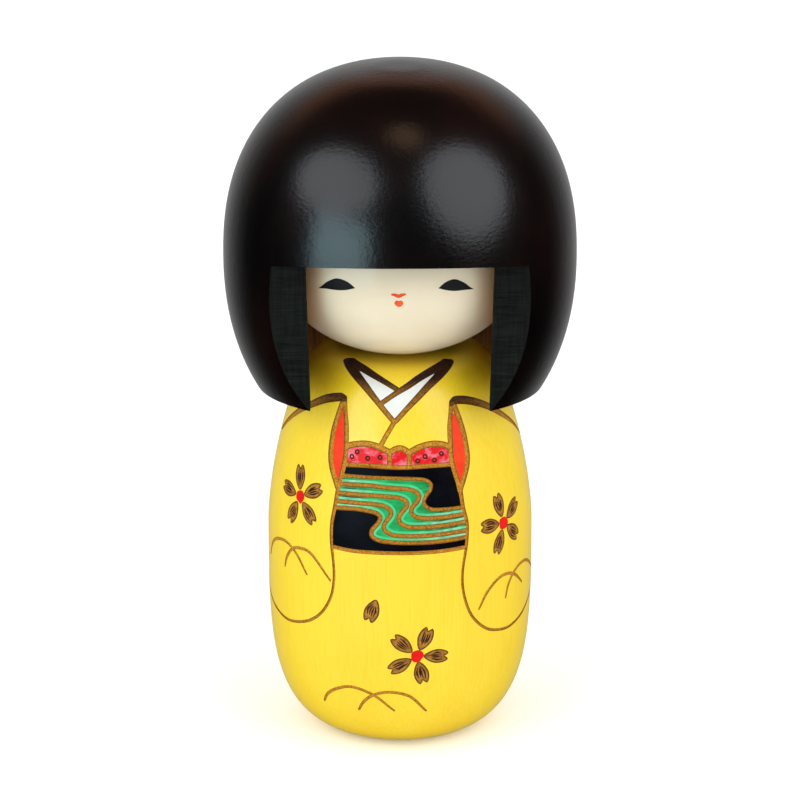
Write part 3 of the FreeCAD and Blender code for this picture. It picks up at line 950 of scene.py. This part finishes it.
def build_hair():
    """The hair cap, in three finishes."""
    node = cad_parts["hair_shell"]
    piece = node.copy()
    piece.data = node.data.copy()
    piece.name = "hair_cap"
    scene.collection.objects.link(piece)
    piece.data.materials.clear()
    for material in (hair_lacquer(), sawn_black(), bored_wood()):
        piece.data.materials.append(material)
    for face in piece.data.polygons:
        face.material_index = hair_side(face.center, face.normal)
    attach(piece, "head")
    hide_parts("hair_shell")


def finish_nodes(material, *names):
    """Gives CAD nodes that stay as they are their own material."""
    for name in names:
        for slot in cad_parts[name].material_slots:
            slot.link = "OBJECT"
            slot.material = material


# ---- Studio


def aim(thing, place, target):
    thing.location = place
    thing.rotation_euler = (target - place).to_track_quat("-Z", "Y").to_euler()


def softbox(name, azimuth, elevation, size, power, colour=(1, 1, 1), shape="ELLIPSE", reflected=True):
    """An area light pointed at the doll, azimuth degrees to the viewer's right of the camera."""
    data = bpy.data.lights.new(name, "AREA")
    data.shape = shape
    data.size, data.size_y = size
    data.energy = power
    data.color = colour
    light = bpy.data.objects.new(name, data)
    scene.collection.objects.link(light)
    light.visible_camera = False
    light.visible_glossy = reflected
    a, e = math.radians(azimuth), math.radians(elevation)
    target = Vector((0, 0, SOFTBOX_TARGET_Z))
    direction = Vector((math.sin(a) * math.cos(e), -math.cos(a) * math.cos(e), math.sin(e)))
    place = target + SOFTBOX_DISTANCE * direction
    aim(light, place, target)


def studio():
    """White all round, but gloss reflects only a white part behind the doll and a warm band above it.

    The rest of what it reflects is dark, as the camera's side of a studio is.
    """
    world = bpy.data.worlds.new("studio")
    scene.world = world
    world.use_nodes = True
    sky = Nodes(world.node_tree)
    rays = sky.add("ShaderNodeLightPath").outputs
    direction = sky.add("ShaderNodeTexCoord").outputs["Generated"]
    split = sky.add("ShaderNodeSeparateXYZ", {0: direction}).outputs

    def slope(axis, gain, offset):
        """From 0 to 1 with how far a ray goes along an axis: +Y is behind the doll, and +Z is up."""
        return sky.maths("MULTIPLY_ADD", split[axis], gain, offset, clamp=True)

    behind = sky.maths("POWER", slope("Y", 1.9, -0.85), 1.4)
    low = slope("Z", -4.0, 2.5)
    white = sky.maths("MULTIPLY", sky.maths("MULTIPLY", behind, low), 0.4)
    past = slope("Y", 4.0, -1.6)
    band = sky.maths("MULTIPLY", slope("Z", 7.0, -2.6), slope("Z", -8.0, 5.9))
    warm = sky.maths("MULTIPLY", sky.maths("MULTIPLY", past, band), 0.3)
    mirrored = sky.mix(warm, white, (1.0, 0.42, 0.2))
    plain = sky.maths("MULTIPLY_ADD", rays["Is Camera Ray"], 1.0 - FILL, FILL)
    background = sky.tree.nodes["Background"]
    sky.tree.links.new(sky.mix(rays["Is Glossy Ray"], plain, mirrored), background.inputs["Color"])
    background.inputs["Strength"].default_value = 1.0


def floor():
    """A wide pale floor."""
    bpy.ops.mesh.primitive_plane_add(size=8.0)
    plane = bpy.context.object
    plane.name = "floor"
    look = Look("floor_white", Roughness=0.7, Specular_IOR_Level=0.1, Emission_Color=(1, 1, 1, 1),
                Emission_Strength=0.14)
    whites = (0.3, (0.93, 0.93, 0.93)), (0.7, (0.96, 0.96, 0.96))
    look.set("Base Color", look.ramp(look.noise(60, detail=2), *whites))
    plane.data.materials.append(look.material)
    plane.visible_glossy = False


def camera():
    """The camera stands 1 m in front of the doll, looking a little down on it."""
    data = bpy.data.cameras.new("camera")
    data.sensor_width = 36.0
    data.lens = CAMERA_LENS
    eye = bpy.data.objects.new("camera", data)
    scene.collection.objects.link(eye)
    elevation = math.radians(CAMERA_ELEVATION_DEG)
    target = Vector((0, 0, CAMERA_TARGET * CAD_BOUNDS[1].z))
    aim(eye, target + Vector((0, -math.cos(elevation), math.sin(elevation))), target)
    scene.camera = eye


build_body(stained_wood())
build_face()
build_hair()
finish_nodes(face_paint(), "head_ball")
finish_nodes(bare_wood(), "neck_dowel", "crown_dowel")
floor()
studio()
softbox("left_softbox", -53, 37, (1.3, 0.9), 4.6, (0.88, 0.94, 1.0))
softbox("right_softbox", 53, 33, (1.25, 1.3), 6.3, (0.88, 0.94, 1.0))
softbox("blue_window", -39, 3, (0.8, 0.6), 4.2, (0.6, 0.9, 1.0), "RECTANGLE")
softbox("warm_lamp", 16, 79, (0.35, 0.45), 0.34, (1.0, 0.6, 0.35))
softbox("left_side_fill", -115, 12, (1.0, 1.2), 2.2, reflected=False)
softbox("right_side_fill", 115, 12, (1.0, 1.2), 2.2, reflected=False)
camera()
scene.view_settings.view_transform = "Standard"
